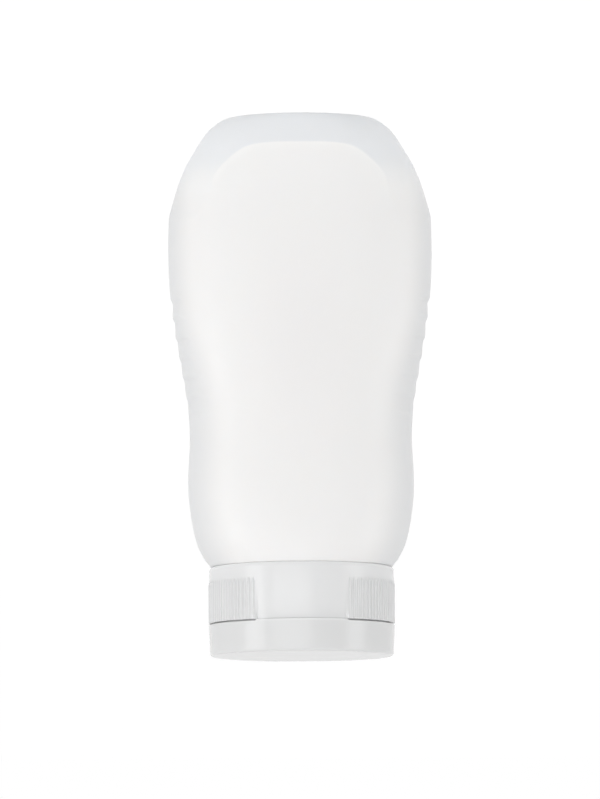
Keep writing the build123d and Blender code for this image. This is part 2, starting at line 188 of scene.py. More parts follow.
def smooth_through(stations, samples=500):
    """Natural cubic through the stations, paced by the distance between them."""
    spots = np.array(stations, float)
    steps = np.linalg.norm(np.diff(spots, axis=0), axis=1)
    pace = np.concatenate(([0.0], np.cumsum(steps)))
    gap = np.diff(pace)
    count = len(spots)
    system = np.eye(count)
    right = np.zeros_like(spots)
    for i in range(1, count - 1):
        system[i, i - 1:i + 2] = gap[i - 1], 2 * (gap[i - 1] + gap[i]), gap[i]
        ahead = (spots[i + 1] - spots[i]) / gap[i]
        behind = (spots[i] - spots[i - 1]) / gap[i - 1]
        right[i] = 6 * (ahead - behind)
    bend = np.linalg.solve(system, right)
    at = np.linspace(0, pace[-1], samples)
    i = np.clip(np.searchsorted(pace, at) - 1, 0, count - 2)
    before, after = (at - pace[i])[:, None], (pace[i + 1] - at)[:, None]
    span = gap[i][:, None]
    return (
        bend[i] * after ** 3 / (6 * span) + bend[i + 1] * before ** 3 / (6 * span)
        + (spots[i] / span - bend[i] * span / 6) * after
        + (spots[i + 1] / span - bend[i + 1] * span / 6) * before
    )


def soft_least(a, b, softness):
    """The smaller of two radii, with a small rounding where they cross."""
    share = np.clip(0.5 + 0.5 * (b - a) / softness, 0, 1)
    return b * (1 - share) + a * share - softness * share * (1 - share)


def ease(value):
    """0 up to 0, 1 from 1, and a smooth rise between."""
    value = np.clip(value, 0, 1)
    return value * value * (3 - 2 * value)


def directions(columns):
    """Even directions round the axis, starting at +X."""
    return np.arange(columns) * 2 * pi / columns


def turned(angles, towards):
    """How far each angle is from the given one, 0 to pi."""
    return np.abs((angles - towards + pi) % (2 * pi) - pi)


def side_share(angles):
    """1 at the bottle's narrow sides, 0 at its front and back."""
    return np.cos(angles) ** 4


def flat_at(angles, y, least_rise=0.2):
    """Radius at which each direction meets the upright plane at this y."""
    rise = np.sin(angles)
    return np.where(rise > least_rise, y / np.maximum(rise, least_rise), FAR)


def rounded(corners, angles, closed=False, steps=4, longest=0.48):
    """Rings along a profile of (radius, height, rounding) corners."""
    spots = [
        np.array([np.broadcast_to(r, angles.shape), np.broadcast_to(z, angles.shape)], float)
        for r, z, _ in corners
    ]
    rings = []
    last = len(corners) - 1
    for i, (_, _, reach) in enumerate(corners):
        if reach == 0 or (not closed and i in (0, last)):
            rings.append(tuple(spots[i]))
            continue
        arms = []
        for other in (spots[i - 1], spots[(i + 1) % len(spots)]):
            arm = other - spots[i]
            length = np.maximum(np.linalg.norm(arm, axis=0), 1e-6)
            arms.append(spots[i] + arm / length * np.minimum(reach, longest * length))
        for t in np.linspace(0, 1, steps + 1):
            rings.append(tuple(
                arms[0] * (1 - t) ** 2 + 2 * spots[i] * t * (1 - t) + arms[1] * t ** 2
            ))
    return rings


def skin(name, rings, angles, poles=None):
    """Closed skin through rings of (radius, height).

    Poles are the heights of its two end points. Without them the last ring joins the first.
    """
    count = len(angles)
    radius = np.array([np.broadcast_to(r, count) for r, _ in rings], float)
    height = np.array([np.broadcast_to(z, count) for _, z in rings], float)
    points = np.stack((radius * np.cos(angles), radius * np.sin(angles), height), axis=-1)
    points = points.reshape(-1, 3)
    low = np.arange(len(points)).reshape(len(rings), count)
    if poles is None:
        low = np.vstack((low, low[:1]))
    right = np.roll(low, -1, axis=1)
    quads = np.stack((low[:-1], right[:-1], right[1:], low[1:]), axis=-1)
    faces = quads.reshape(-1, 4).tolist()
    if poles is not None:
        first, second = len(points), len(points) + 1
        points = np.vstack((points, [(0, 0, poles[0]), (0, 0, poles[1])]))
        faces += [(first, b, a) for a, b in zip(low[0].tolist(), right[0].tolist())]
        faces += [(a, b, second) for a, b in zip(low[-1].tolist(), right[-1].tolist())]
    return solid(name, points, faces)


def solid(name, points, faces):
    """A smooth-shaded piece from points in millimetres."""
    mesh = bpy.data.meshes.new(name)
    mesh.from_pydata((np.asarray(points) * MM).tolist(), [], faces)
    mesh.update()
    mesh.shade_smooth()
    return placed(name, mesh)


def placed(name, data):
    """An object with this mesh, light or camera in the scene."""
    thing = bpy.data.objects.new(name, data)
    bpy.context.scene.collection.objects.link(thing)
    return thing


def keep_edges(piece, degrees_):
    """Smooth shading with the edges sharper than this kept crisp."""
    piece.data.set_sharp_from_angle(angle=radians(degrees_))
    return piece


def thread_ridge(angles, height, start, turns, crest, root):
    """Share of a right-handed screw ridge's rise, 0 to 1, at each direction and height."""
    along = angles / (2 * pi)
    lap = np.round((height - start) / THREAD_PITCH - along)
    off = np.abs(height - start - THREAD_PITCH * (along + lap))
    travelled = along + lap
    fade = ease(travelled / THREAD_FADE) * ease((turns - travelled) / THREAD_FADE)
    return np.clip((root / 2 - off) / ((root - crest) / 2), 0, 1) * fade


# ======== bottle ========

body_curve = smooth_through(BODY_STATIONS)
end_curve = smooth_through(END_STATIONS)


def superellipse(angles, half_width, half_depth, squareness):
    total = (
        (np.abs(np.cos(angles)) / half_width) ** squareness
        + (np.abs(np.sin(angles)) / half_depth) ** squareness
    )
    return total ** (-1 / squareness)


def body_radius(angles, height, inset=0.0):
    """The broad body, which turns round towards the shoulder."""
    half_width = np.interp(height, body_curve[:, 2], body_curve[:, 0]) - inset
    half_depth = np.interp(height, body_curve[:, 2], body_curve[:, 1]) - inset
    roundness = np.clip(1 - (SHOULDER_Z - height) / SHOULDER_ROUNDING, 0, 1)
    squareness = BODY_SQUARENESS + (ELLIPSE - BODY_SQUARENESS) * roundness
    return superellipse(angles, half_width, half_depth, squareness)


def end_radius(angles, height, inset=0.0):
    """The tapered closed end, which leaves the body free above its last station."""
    level = height - inset
    half_width = np.interp(level, end_curve[:, 3], end_curve[:, 0]) - inset
    half_depth = np.interp(level, end_curve[:, 3], end_curve[:, 1]) - inset
    squareness = np.interp(level, end_curve[:, 3], end_curve[:, 2])
    grown = np.maximum(level - END_STATIONS[-1][3], 0) * 2
    return superellipse(angles, half_width, half_depth, squareness) + grown


def form_radius(angles, height, inset=0.0):
    """The body cut by the tapered end, which leaves the arched crease."""
    return soft_least(
        body_radius(angles, height, inset), end_radius(angles, height, inset), CREASE_SOFTNESS
    )


def grip_profile():
    """Distance of the grips' steps from the axis that they are swept round."""
    def side(z):
        return np.interp(z, body_curve[:, 2], body_curve[:, 0])
    top = GRIP_FIRST_Z + GRIP_COUNT * GRIP_PITCH
    low, high = GRIP_FIRST_Z - GRIP_RUN_OUT, top + GRIP_RUN_OUT
    corners = [(low, side(low) + GRIP_CLEAR)]
    for i in range(GRIP_COUNT):
        crest = GRIP_FIRST_Z + i * GRIP_PITCH
        shallower = (GRIP_LAST_DEPTH - GRIP_FIRST_DEPTH) * i / (GRIP_COUNT - 1)
        corners.append((crest, side(crest)))
        corners.append(
            (crest + GRIP_RISE, side(crest + GRIP_RISE) - (GRIP_FIRST_DEPTH + shallower))
        )
    corners += [(top, side(top)), (high, side(high) + GRIP_CLEAR)]
    heights = np.arange(low, high, GRIP_STEP)
    reach = np.interp(heights, *zip(*corners))
    weights = np.bartlett(2 * GRIP_BLEND_STEPS + 1)
    padded = np.pad(reach, GRIP_BLEND_STEPS, mode="edge")
    return heights, np.convolve(padded, weights / weights.sum(), mode="valid") - GRIP_AXIS_X


grip_z, grip_reach = grip_profile()


def bottle_radius(angles, height):
    """Outside of the bottle below the shelf, with the stepped grips cut in."""
    plain = form_radius(angles, height)
    reach = np.interp(height, grip_z, grip_reach, left=FAR, right=FAR)
    across, along = np.abs(np.cos(angles)), np.abs(np.sin(angles))
    cut = GRIP_AXIS_X * across + np.sqrt(reach ** 2 - (GRIP_AXIS_X * along) ** 2)
    in_sweep = np.arctan2(cut * along, cut * across - GRIP_AXIS_X) < GRIP_SWEEP
    return np.where(in_sweep, soft_least(plain, cut, GRIP_SOFTNESS), plain)


def crease_height(angles):
    """Height at which the tapered end has grown out to the body, in each direction."""
    step = CREASE_SEARCH[2]
    levels = np.arange(*CREASE_SEARCH)[:, None]
    beyond = end_radius(angles, levels) - body_radius(angles, levels)
    first = np.argmax(beyond > 0, axis=0)
    column = np.arange(len(angles))
    below, above = beyond[first - 1, column], beyond[first, column]
    return levels[first, 0] - step * above / (above - below)


def mark_painted_light(bottle, rings, angles):
    """Writes the masks of the wall's painted shade and painted highlight as attributes that its
    finish reads.
    """
    around = np.tile(angles, len(rings))
    heights = np.array([np.broadcast_to(z, angles.shape) for _, z in rings]).ravel()
    past = body_radius(around, heights) - end_radius(around, heights)
    # the skin's two poles come last, at the middle of the closed end
    past, heights = np.append(past, [1.0, 1.0]), np.append(heights, [0.0, 0.0])
    across = np.abs([point.co.x / MM for point in bottle.data.vertices])
    half = np.interp(heights, body_curve[:, 2], body_curve[:, 0])
    begin = EDGE_SHADE_FROM - EDGE_SHADE_WIDER * ease((heights - EDGE_SHADE_WIDER_Z) / EDGE_SHADE_WIDER_RISE)
    aside, along = across / MIDDLE_SHADE_REACH, (heights - MIDDLE_SHADE_Z) / MIDDLE_SHADE_RISE
    taper_shade_fade = 1 - ease((heights - TAPER_SHADE_FADE_Z) / TAPER_SHADE_FADE)
    crease_highlight_fade = 1 - ease((heights - CREASE_HIGHLIGHT_FADE_Z) / CREASE_HIGHLIGHT_FADE)
    # masks of painted light: painted shade on the tapered end, the narrow sides and the middle of
    # the broad faces, and a painted highlight just past the crease
    zones = {
        "taper_shade": ease(past / TAPER_SHADE_BLEND + 0.5) * taper_shade_fade,
        "crease_highlight": np.exp(np.minimum(past, 0) / CREASE_HIGHLIGHT_REACH) * crease_highlight_fade,
        "edge_shade": ease((across / half - begin) / (1 - begin)),
        "middle": np.exp(-aside ** 2 - along ** 2),
    }
    for name, values in zones.items():
        bottle.data.attributes.new(name, "FLOAT", "POINT").data.foreach_set("value", values)


def make_bottle():
    angles = directions(BOTTLE_COLUMNS)
    # flat closed end and its rounded edge
    base = end_radius(angles, 0.0)
    foot = EDGE_ROUND + EDGE_LAP
    rings = rounded(
        [
            (base * 0.5, 0.0, 0), (base - EDGE_LAP, 0.0, EDGE_ROUND),
            (end_radius(angles, foot), foot, 0),
        ],
        angles, steps=6,
    )
    # wall: rings follow the crease and crowd there, then lie level
    crease, last = crease_height(angles), CREASE_RINGS[-1]
    climb = [
        (crease - last - foot) * share + foot
        for share in np.linspace(0, 1, RINGS_TO_CREASE)[1:-1]
    ]
    climb += [crease - reach for reach in reversed(CREASE_RINGS)] + [crease]
    climb += [crease + reach for reach in CREASE_RINGS]
    climb += [
        (CREASE_END_Z - crease - last) * share + crease + last
        for share in np.linspace(0, 1, RINGS_PAST_CREASE)[1:]
    ]
    for run in (PLAIN_RUN, GRIP_RUN, WAIST_RUN, SHOULDER_RUN):
        climb += [np.full_like(angles, level) for level in np.arange(*run)]
    rings += [(bottle_radius(angles, level), level) for level in climb]
    # shelf and neck root
    under, plain = SHOULDER_Z - SHOULDER_EDGE - 0.5, SHOULDER_Z + NECK_PLAIN
    shelf = body_radius(angles, SHOULDER_Z) + SHELF_PROUD - SIDE_TUCK * side_share(angles)
    rings += rounded(
        [
            (body_radius(angles, under), under, 0), (shelf, SHOULDER_Z, SHOULDER_EDGE),
            (NECK_R, SHOULDER_Z, NECK_FILLET), (NECK_R, plain, 0),
        ],
        angles, steps=6,
    )[1:]
    for level in np.arange(plain + THREAD_STEP, NECK_THREAD_END, THREAD_STEP):
        ridge = thread_ridge(angles, level, **NECK_THREAD)
        rings.append((NECK_R + NECK_THREAD_RISE * ridge, level))
    # lip, bore and the hollow inside
    ceiling = SHOULDER_Z - WALL
    rings += rounded(
        [
            (NECK_R, NECK_THREAD_END + 0.2, 0), (NECK_R, NECK_TOP, NECK_LIP),
            (NECK_BORE_R, NECK_TOP, NECK_LIP), (NECK_BORE_R, ceiling, NECK_INNER_FILLET),
            (body_radius(angles, ceiling, WALL), ceiling, SHOULDER_INNER_FILLET),
            (body_radius(angles, ceiling - 3, WALL), ceiling - 3, 0),
        ],
        angles,
    )
    for run in INSIDE_RUNS:
        rings += [(form_radius(angles, level, WALL), level) for level in np.arange(*run)]
    rings.append((end_radius(angles, WALL, WALL) * FLOOR_SHARE, WALL))
    bottle = skin("squeeze_bottle", rings, angles, poles=(0.0, WALL))
    mark_painted_light(bottle, rings, angles)
    return bottle


# ======== cap ========

def panel_share(angles):
    """1 on the smooth thumb panel at the front, 0 on the rest."""
    return ease((PANEL_HALF - turned(angles, -pi / 2)) / PANEL_EDGE + 0.5)


def skirt_radius(angles, height):
    """Outside of the skirt, scooped at the thumb panel and flat at the hinge pocket."""
    bend = ((DECK_TOP - SCOOP_Z) ** 2 + SCOOP_DEPTH ** 2) / (2 * SCOOP_DEPTH)
    up = max(height - SCOOP_Z, 0)
    scooped = SKIRT_R - (bend - sqrt(bend ** 2 - up ** 2)) * panel_share(angles)
    if height > POCKET_Z:
        scooped = np.minimum(scooped, flat_at(angles, HINGE_FLAT_Y))
    return scooped


def make_cap_shell():
    angles = directions(CAP_COLUMNS)
    tuck = SKIRT_TUCK + SKIRT_SIDE_TUCK * side_share(angles)
    rings = [
        (SKIRT_R - tuck * (1 - sin(turn)), CAP_BASE + SKIRT_ROUND * (1 - cos(turn)))
        for turn in np.linspace(0, pi / 2, 8)
    ]
    rings += [(skirt_radius(angles, level), level) for level in SKIRT_LEVELS]
    # the upstand ends where the pocket's flat would leave it no thickness
    wall_in = np.full_like(angles, UPSTAND_IN_R)
    wall_out = np.minimum(UPSTAND_R, flat_at(angles, UPSTAND_FLAT_Y))
    standing = np.clip((wall_out - wall_in) / UPSTAND_LEAST, 0, 1)
    tall = DECK_TOP + (UPSTAND_TOP - DECK_TOP) * standing
    wall_out = np.maximum(wall_out, wall_in + UPSTAND_LEAST)
    rings += rounded(
        [
            (skirt_radius(angles, 159.3), 159.3, 0),
            (skirt_radius(angles, DECK_TOP), DECK_TOP, 0.14),
            (wall_out, DECK_TOP, 0.25), (wall_out, tall, 0.3), (wall_in, tall, 0.3),
            (wall_in, DECK_TOP, 0.3), (SPOUT_R, DECK_TOP, 0.5), (SPOUT_R, SPOUT_TOP, 0.6),
            (MOUTH_R, SPOUT_TOP, 0.5), (MOUTH_R, VALVE_TOP, 0.15), (SPOUT_BORE_R, VALVE_TOP, 0.1),
            (SPOUT_BORE_R, DECK_UNDER, 0.2), (SOCKET_R, DECK_UNDER, 0.3),
            (SOCKET_R, CAP_THREAD_TOP + THREAD_STEP, 0),
        ],
        angles,
    )
    for level in np.arange(CAP_THREAD_TOP, SOCKET_BASE + SOCKET_LEAD, -THREAD_STEP):
        ridge = thread_ridge(angles, level, **CAP_THREAD)
        rings.append((SOCKET_R - CAP_THREAD_RISE * ridge, level))
    rings += rounded(
        [
            (SOCKET_R, SOCKET_BASE + SOCKET_LEAD, 0), (SOCKET_R, SOCKET_BASE, 0.25),
            (SOCKET_OUT_R, SOCKET_BASE, 0.25), (SOCKET_OUT_R, DECK_UNDER, 0.5),
            (SKIRT_IN_R, DECK_UNDER, 0.5), (SKIRT_IN_R, CAP_BASE + 0.3, 0),
        ],
        angles,
    )
    return keep_edges(skin("cap_shell", rings, angles), 50)


def make_lid():
    angles = directions(CAP_COLUMNS)
    lean = tan(LID_DRAFT)
    back, back_in = flat_at(angles, HINGE_FLAT_Y), flat_at(angles, HINGE_FLAT_Y - LID_WALL)
    edge = LID_EDGE - TAB_DROP * panel_share(angles)
    out_low = np.minimum(LID_R, back)
    out_high = np.minimum(LID_R - (LID_FACE - LID_EDGE) * lean, back)
    in_low = np.minimum(LID_R - LID_WALL, back_in)
    in_high = np.minimum(LID_R - LID_WALL - (LID_CEILING - LID_EDGE) * lean, back_in)
    rings = rounded(
        [
            (LID_CENTRE_R, LID_CEILING, 0), (SEAL_R, LID_CEILING, 0.3), (SEAL_R, SEAL_Z, 0.25),
            (SEAL_OUT_R, SEAL_Z, 0.25), (SEAL_OUT_R, LID_CEILING, 0.3),
            (in_high, LID_CEILING, 0.8), (in_low, edge, 0.2), (out_low, edge, 0.16),
            (out_high, LID_FACE, LID_ROUND), (LID_CENTRE_R, LID_FACE, 0),
        ],
        angles, steps=5,
    )
    return keep_edges(skin("flip_lid_cup", rings, angles, poles=(LID_CEILING, LID_FACE)), 50)


def make_ring(name, corners, columns=160):
    angles = directions(columns)
    return keep_edges(skin(name, rounded(corners, angles, closed=True, steps=3), angles), 50)


def make_hinge_strap(name, middle_x):
    """One film strap: full thickness in each wall, reduced to a film at the bending line."""
    heights = np.linspace(STRAP_LOW, STRAP_HIGH, STRAP_ROWS)
    off = np.abs(heights - HINGE_Z)
    crest = HINGE_Y - SWELL_SHORT
    outer = STRAP_OUT_Y + (crest - STRAP_OUT_Y) * ease(1 - off / SWELL_REACH)
    inner = STRAP_IN_Y + FILM_NOTCH * ease(1 - off / FILM_REACH)
    across = np.array([-1.0, -STRAP_FLAT, STRAP_FLAT, 1.0]) * STRAP_WIDTH / 2
    drop = np.array([STRAP_EDGE, 0.0, 0.0, STRAP_EDGE])
    points, faces = [], []
    for z, y_out, y_in in zip(heights, outer, inner):
        points += [(middle_x + x, y_out - d, z) for x, d in zip(across, drop)]
        points += [(middle_x + x, y_in + d, z) for x, d in zip(across[::-1], drop[::-1])]
    loop = 2 * len(across)
    for i in range(STRAP_ROWS - 1):
        for j in range(loop):
            k = (j + 1) % loop
            faces.append((i * loop + j, i * loop + k, (i + 1) * loop + k, (i + 1) * loop + j))
    faces.append(tuple(range(loop - 1, -1, -1)))
    faces.append(tuple(range((STRAP_ROWS - 1) * loop, STRAP_ROWS * loop)))
    strap = solid(name, points, faces)
    flip_outwards(strap)
    return keep_edges(strap, 40)


def flip_outwards(piece):
    """Turns every face of a closed piece outwards."""
    mesh = bmesh.new()
    mesh.from_mesh(piece.data)
    bmesh.ops.recalc_face_normals(mesh, faces=mesh.faces)
    mesh.to_mesh(piece.data)
    mesh.free()


# ======== ribs by geometry nodes ========

RIB_INPUTS = (
    ("Rib Count", "NodeSocketInt"), ("Circle Radius", "NodeSocketFloat"),
    ("Rib Radius", "NodeSocketFloat"), ("Low", "NodeSocketFloat"), ("High", "NodeSocketFloat"),
    ("Panel Half Angle", "NodeSocketFloat"), ("Pocket Half Angle", "NodeSocketFloat"),
    ("Finish", "NodeSocketMaterial"),
)


def rib_tree():
    """Upright ribs on a circle, left out over the thumb panel and the hinge pocket."""
    tree = bpy.data.node_groups.new("skirt ribs", "GeometryNodeTree")
    new_socket = tree.interface.new_socket
    sizes = {
        label: new_socket(label, in_out="INPUT", socket_type=kind).identifier
        for label, kind in RIB_INPUTS
    }
    new_socket("Ribs", in_out="OUTPUT", socket_type="NodeSocketGeometry")
    nodes, link = tree.nodes, tree.links.new
    given = nodes.new("NodeGroupInput").outputs
    result = nodes.new("NodeGroupOutput").inputs

    def node(kind, **settings):
        made = nodes.new(kind)
        for key, value in settings.items():
            setattr(made, key, value)
        return made

    def math(operation, first, second):
        made = node("ShaderNodeMath", operation=operation)
        for socket, value in zip(made.inputs, (first, second)):
            if isinstance(value, (int, float)):
                socket.default_value = value
            else:
                link(value, socket)
        return made.outputs[0]

    # one point a rib, half a step round from the X axis
    index = node("GeometryNodeInputIndex").outputs[0]
    step = math("DIVIDE", 2 * pi, given["Rib Count"])
    angle = math("MULTIPLY", math("ADD", index, 0.5), step)
    place = node("ShaderNodeCombineXYZ")
    for socket, way in zip(place.inputs, ("COSINE", "SINE")):
        link(math("MULTIPLY", math(way, angle, 0.0), given["Circle Radius"]), socket)
    points = node("GeometryNodePoints")
    link(given["Rib Count"], points.inputs["Count"])
    link(place.outputs[0], points.inputs["Position"])

    def off(towards):
        """How far a rib's direction is from this one, 0 to pi."""
        turned_on = math("ADD", math("SUBTRACT", angle, towards), 3 * pi)
        return math("ABSOLUTE", math("SUBTRACT", math("MODULO", turned_on, 2 * pi), pi), 0.0)

    on_panel = math("LESS_THAN", off(-pi / 2), given["Panel Half Angle"])
    on_pocket = math("LESS_THAN", off(pi / 2), given["Pocket Half Angle"])
    thinned = node("GeometryNodeDeleteGeometry", domain="POINT")
    link(points.outputs[0], thinned.inputs["Geometry"])
    link(math("MAXIMUM", on_panel, on_pocket), thinned.inputs["Selection"])

    # one rib: an upright tube whose lower end runs out into the skirt
    line = node("GeometryNodeCurvePrimitiveLine")
    for level, socket in (("Low", "Start"), ("High", "End")):
        end = node("ShaderNodeCombineXYZ")
        link(given[level], end.inputs[2])
        link(end.outputs[0], line.inputs[socket])
    spaced = node("GeometryNodeResampleCurve")
    link(line.outputs[0], spaced.inputs["Curve"])
    spaced.inputs["Count"].default_value = RIB_ROWS
    share = node("GeometryNodeSplineParameter").outputs["Factor"]
    grown = node("ShaderNodeMapRange", interpolation_type="SMOOTHERSTEP")
    link(share, grown.inputs["Value"])
    grown.inputs["From Max"].default_value = RIB_RUN_OUT
    grown.inputs["To Min"].default_value = RIB_FOOT
    sized = node("GeometryNodeSetCurveRadius")
    link(spaced.outputs[0], sized.inputs["Curve"])
    link(math("MULTIPLY", grown.outputs[0], given["Rib Radius"]), sized.inputs["Radius"])
    ring = node("GeometryNodeCurvePrimitiveCircle")
    ring.inputs["Resolution"].default_value = RIB_SIDES
    ring.inputs["Radius"].default_value = 1.0
    tube = node("GeometryNodeCurveToMesh")
    link(sized.outputs[0], tube.inputs["Curve"])
    link(ring.outputs[0], tube.inputs["Profile Curve"])
    tube.inputs["Fill Caps"].default_value = True
    if "Scale" in tube.inputs:
        radius = node("GeometryNodeInputRadius")
        link(radius.outputs[0], tube.inputs["Scale"])

    stood = node("GeometryNodeInstanceOnPoints")
    link(thinned.outputs[0], stood.inputs["Points"])
    link(tube.outputs[0], stood.inputs["Instance"])
    real = node("GeometryNodeRealizeInstances")
    link(stood.outputs[0], real.inputs[0])
    smooth = node("GeometryNodeSetShadeSmooth")
    link(real.outputs[0], smooth.inputs[0])
    finished = node("GeometryNodeSetMaterial")
    link(smooth.outputs[0], finished.inputs["Geometry"])
    link(given["Finish"], finished.inputs["Material"])
    link(finished.outputs[0], result[0])
    return tree, sizes


def make_ribs(finish):
    tree, sizes = rib_tree()
    holder = placed("rib holder", bpy.data.meshes.new("rib holder"))
    maker = holder.modifiers.new("ribs", "NODES")
    maker.node_group = tree
    for label, value in (
        ("Rib Count", RIB_COUNT), ("Circle Radius", (SKIRT_R + RIB_PROUD - RIB_R) * MM),
        ("Rib Radius", RIB_R * MM), ("Low", RIB_Z * MM), ("High", (DECK_TOP - RIB_END_GAP) * MM),
        ("Panel Half Angle", PANEL_HALF), ("Pocket Half Angle", POCKET_HALF), ("Finish", finish),
    ):
        maker[sizes[label]] = value
    bpy.context.view_layer.update()
    shown = holder.evaluated_get(bpy.context.evaluated_depsgraph_get())
    mesh = bpy.data.meshes.new_from_object(shown)
    holder.modifiers.clear()
    bpy.data.objects.remove(holder)
    mesh.name = "cap_ribs"
    return keep_edges(placed("cap_ribs", mesh), 60)


# ======== finishes ========

def finish_nodes(name):
    """A new material with its shader, object coordinates and helpers to add and link nodes."""
    material = bpy.data.materials.new(name)
    material.use_nodes = True
    nodes, link = material.node_tree.nodes, material.node_tree.links.new
    shader = nodes["Principled BSDF"]
    spot = nodes.new("ShaderNodeTexCoord").outputs["Object"]

    def node(kind, inputs=(), **settings):
        made = nodes.new(kind)
        for key, value in settings.items():
            setattr(made, key, value)
        for key, value in dict(inputs).items():
            if isinstance(value, bpy.types.NodeSocket):
                link(value, made.inputs[key])
            else:
                made.inputs[key].default_value = value
        return made

    return material, shader, spot, node, link


def noise(node, spot, scale, detail=2.0, roughness=0.5):
    return node("ShaderNodeTexNoise", {
        "Vector": spot, "Scale": scale, "Detail": detail, "Roughness": roughness,
    }).outputs["Fac"]


def spread(node, value, low, high, start=0.35, end=0.65):
    """Maps start to end onto low to high."""
    return node("ShaderNodeMapRange", {
        "Value": value, "From Min": start, "From Max": end, "To Min": low, "To Max": high,
    }).outputs[0]


def tinted(node, share, first, second):
    """The first colour where the share is 0, the second where it is 1."""
    if not isinstance(first, bpy.types.NodeSocket):
        first = (*first, 1)
    inputs = {0: share, 6: first, 7: (*second, 1)}
    return node("ShaderNodeMix", inputs, data_type="RGBA").outputs[2]


def bumped(node, strength, distance, height, under=None):
    """A bump, with the distance in metres, over another one if given."""
    inputs = {"Strength": strength, "Distance": distance, "Height": height}
    if under is not None:
        inputs["Normal"] = under
    return node("ShaderNodeBump", inputs).outputs[0]


def let_light_in(shader, ior, share, reach, depth):
    """Milkiness: the share of the light that enters, and how far each colour gets."""
    for label, value in (
        ("IOR", ior), ("Subsurface Weight", share), ("Subsurface Radius", reach),
        ("Subsurface Scale", depth),
    ):
        shader.inputs[label].default_value = value


def blown_polyethylene():
    """Natural blow-moulded bottle wall.

    Milky satin with slight waves and a mould line on the narrow sides. Painted highlight makes it
    whiter just past the crease, and painted shade makes it greyer on the narrow sides, the
    tapered end and the middle.
    """
    material, shader, spot, node, link = finish_nodes("satin natural polyethylene")
    colour = tinted(node, noise(node, spot, 45, 3), *WALL_WHITES)
    # painted shade and painted highlight laid over the plastic's own white
    for name, tint in WALL_LIGHT_AND_SHADE_TINTS:
        share = node("ShaderNodeAttribute", attribute_name=name).outputs["Fac"]
        colour = tinted(node, share, colour, tint)
    link(colour, shader.inputs["Base Color"])
    link(spread(node, noise(node, spot, 220, 4), 0.36, 0.46), shader.inputs["Roughness"])
    waves = bumped(node, 0.35, 0.0006, noise(node, spot, 55, 1))
    grain = bumped(node, 0.3, 0.00006, noise(node, spot, 1500, 3), waves)
    # mould parting line and pinch-off seam, both in the plane between the mould halves
    apart = node("ShaderNodeSeparateXYZ", {"Vector": spot}).outputs["Y"]
    distance = node("ShaderNodeMath", {0: apart}, operation="ABSOLUTE").outputs[0]
    seam = spread(node, distance, 1.0, 0.0, 0.00008, 0.0003)
    link(bumped(node, 0.5, 0.0001, seam, grain), shader.inputs["Normal"])
    let_light_in(shader, 1.5, 0.4, (1.0, 0.95, 0.9), 0.001)
    return material


def moulded_polypropylene():
    """White injection-moulded cap: semi-gloss with faint flow marks, the lid painted a little
    greyer as shade, though it is the same plastic.
    """
    material, shader, spot, node, link = finish_nodes("semi-gloss white polypropylene")
    skirt = tinted(node, noise(node, spot, 60, 1), *SKIRT_WHITES)
    height = node("ShaderNodeSeparateXYZ", {"Vector": spot}).outputs["Z"]
    # the lid painted greyer than the skirt, as painted shade
    lid_shade_share = spread(node, height, 0, 1, (LID_EDGE - 0.5) * MM, (LID_EDGE + 0.5) * MM)
    link(tinted(node, lid_shade_share, skirt, LID_SHADED_WHITE), shader.inputs["Base Color"])
    link(spread(node, noise(node, spot, 160, 1), 0.2, 0.22, 0.2, 0.8), shader.inputs["Roughness"])
    flow = bumped(node, 0.1, 0.0003, noise(node, spot, 70, 0))
    grain = bumped(node, 0.1, 0.000005, noise(node, spot, 2500, 1), flow)
    link(grain, shader.inputs["Normal"])
    let_light_in(shader, 1.49, 0.5, (1.0, 0.97, 0.95), 0.0015)
    return material


def soft_silicone():
    """Clear-white liquid silicone with a matt bloom."""
    material, shader, spot, node, link = finish_nodes("matt translucent silicone")
    colour = tinted(node, noise(node, spot, 300, 3), *SILICONE_WHITES)
    link(colour, shader.inputs["Base Color"])
    link(spread(node, noise(node, spot, 700, 3), 0.42, 0.58), shader.inputs["Roughness"])
    bloom = bumped(node, 0.3, 0.00003, noise(node, spot, 4000, 2))
    link(bloom, shader.inputs["Normal"])
    let_light_in(shader, 1.41, 0.4, (1.0, 0.98, 0.95), 0.001)
    return material


def foam_liner():
    """Closed-cell foam washer with open cut edges."""
    material, shader, spot, node, link = finish_nodes("matt closed-cell foam")
    cells = node("ShaderNodeTexVoronoi", {"Vector": spot, "Scale": 3500.0}).outputs["Distance"]
    colour = tinted(node, spread(node, cells, 0, 1, 0.1, 0.7), *FOAM_WHITES)
    link(colour, shader.inputs["Base Color"])
    link(spread(node, noise(node, spot, 900, 2), 0.75, 0.9), shader.inputs["Roughness"])
    link(bumped(node, 0.6, 0.00008, cells), shader.inputs["Normal"])
    return material


# ======== pieces ========

polyethylene = blown_polyethylene()
polypropylene = moulded_polypropylene()
silicone = soft_silicone()
foam = foam_liner()


def settle(piece, finish, body, node=None):
    """Gives a piece its finish in its slot and the body it rides on, and hides the CAD node it
    stands for.
    """
    piece.data.materials.clear()
    piece.data.materials.append(finish)
    if body:
        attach(piece, body)
    if node:
        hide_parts(node)
    return piece


def merged_copy(node, name):
    """The CAD node's own shape, with its loose triangles joined and shaded smooth."""
    mesh = bpy.data.meshes.new(name)
    work = bmesh.new()
    work.from_mesh(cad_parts[node].data)
    bmesh.ops.remove_doubles(work, verts=work.verts, dist=WELD)
    work.to_mesh(mesh)
    work.free()
    mesh.shade_smooth()
    return keep_edges(placed(name, mesh), 30)


